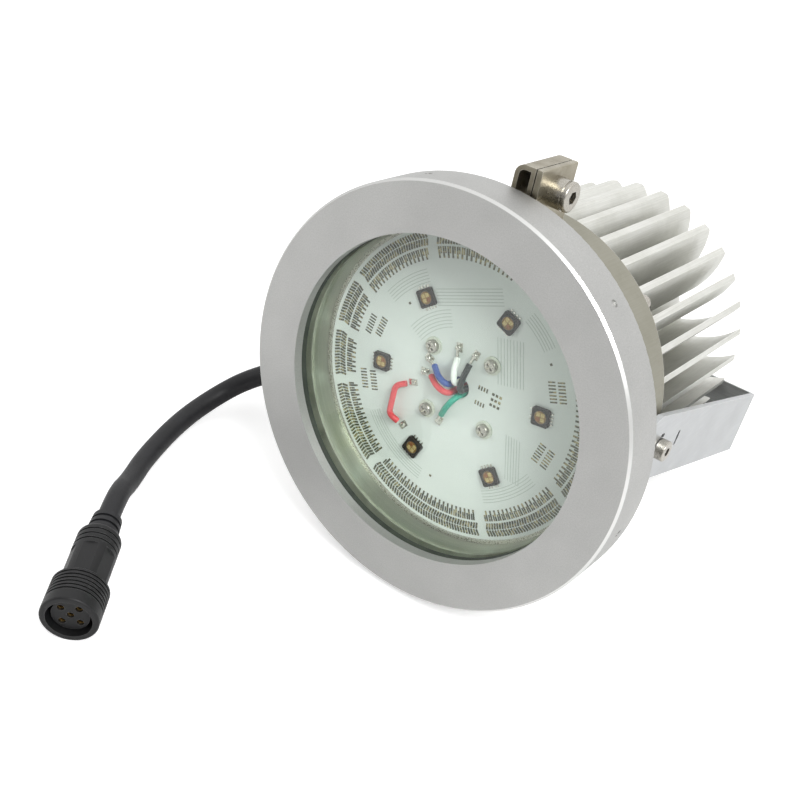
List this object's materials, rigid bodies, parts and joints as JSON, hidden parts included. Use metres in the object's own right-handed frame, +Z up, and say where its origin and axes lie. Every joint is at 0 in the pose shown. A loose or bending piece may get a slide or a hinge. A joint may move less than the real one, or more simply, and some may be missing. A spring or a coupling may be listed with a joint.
{
  "type": "underwater pool light",
  "caption": "Round finned underwater flood light with a glass front, an LED board, a tilting U bracket, a band clamp and a short cable with a round plug.",
  "frame": {"origin": "on the ground, under the middle of the head and bracket, without the cable and its connector", "axes": "+Z up, the light faces -Y with its front tilted up, +X along the pivot axis to the right hand pivot seen from the front"},
  "size_m": [0.1976, 0.261, 0.1547],
  "materials": {
    "anodised_aluminium": "bead blasted, clear anodised",
    "board_white": "white solder mask on aluminium core",
    "bracket_steel": "satin sheet",
    "cable_black": "matt jacket",
    "clamp_steel": "nickel bright strap",
    "connector_black": "moulded nylon",
    "contact_brass": "plated socket",
    "gasket_rubber": "matt",
    "gland_metal": "nickel plated",
    "housing_aluminium": "turned, plain",
    "lead_black": "insulation",
    "lead_blue": "insulation",
    "lead_green": "insulation",
    "lead_red": "insulation",
    "lead_white": "insulation",
    "led_body": "black moulded package",
    "led_window": "clear gel over dies",
    "lens_glass": "tempered, clear",
    "pad_grey": "soft thermal pad",
    "raw_aluminium": "extruded, plain",
    "screw_steel": "bright",
    "solder": "tinned",
    "washer_nylon": "milky nylon"
  },
  "bodies": {
    "head": {"board_retaining_ring": "screw_steel", "board_screws": "screw_steel", "board_washers": "washer_nylon", "body_o_ring": "gasket_rubber", "body_screws": "screw_steel", "cable_entry": "cable_black", "clamp_band": "clamp_steel", "clamp_loop": "clamp_steel", "clamp_lug": "clamp_steel", "clamp_nut": "screw_steel", "clamp_screw": "screw_steel", "connector_boot": "cable_black", "connector_collar": "connector_black", "connector_contacts": "contact_brass", "connector_insert": "connector_black", "connector_shell": "connector_black", "front_gasket": "gasket_rubber", "gland_body": "gland_metal", "gland_nut": "gland_metal", "gland_seal": "gasket_rubber", "glass_lens": "lens_glass", "heat_sink": "raw_aluminium", "jumper_wire": "lead_red", "lamp_housing": "housing_aluminium", "lead_black": "lead_black", "lead_blue": "lead_blue", "lead_green": "lead_green", "lead_red": "lead_red", "lead_white": "lead_white", "led_board": "board_white", "led_legs": "solder", "led_packages": "led_body", "led_windows": "led_window", "pivot_screws": "screw_steel", "power_cable": "cable_black", "rear_gasket": "gasket_rubber", "solder_pads": "solder", "thermal_pad": "pad_grey", "trim_ring": "anodised_aluminium"},
    "bracket": {"mounting_bracket": "bracket_steel"}
  },
  "joints": [
    {"name": "bracket_tilt", "type": "hinge", "parent": "head", "child": "bracket", "pos_m": [0, -0.01949, 0.06583], "axis": [1, 0, 0], "range_deg": [-6, 33]}
  ]
}
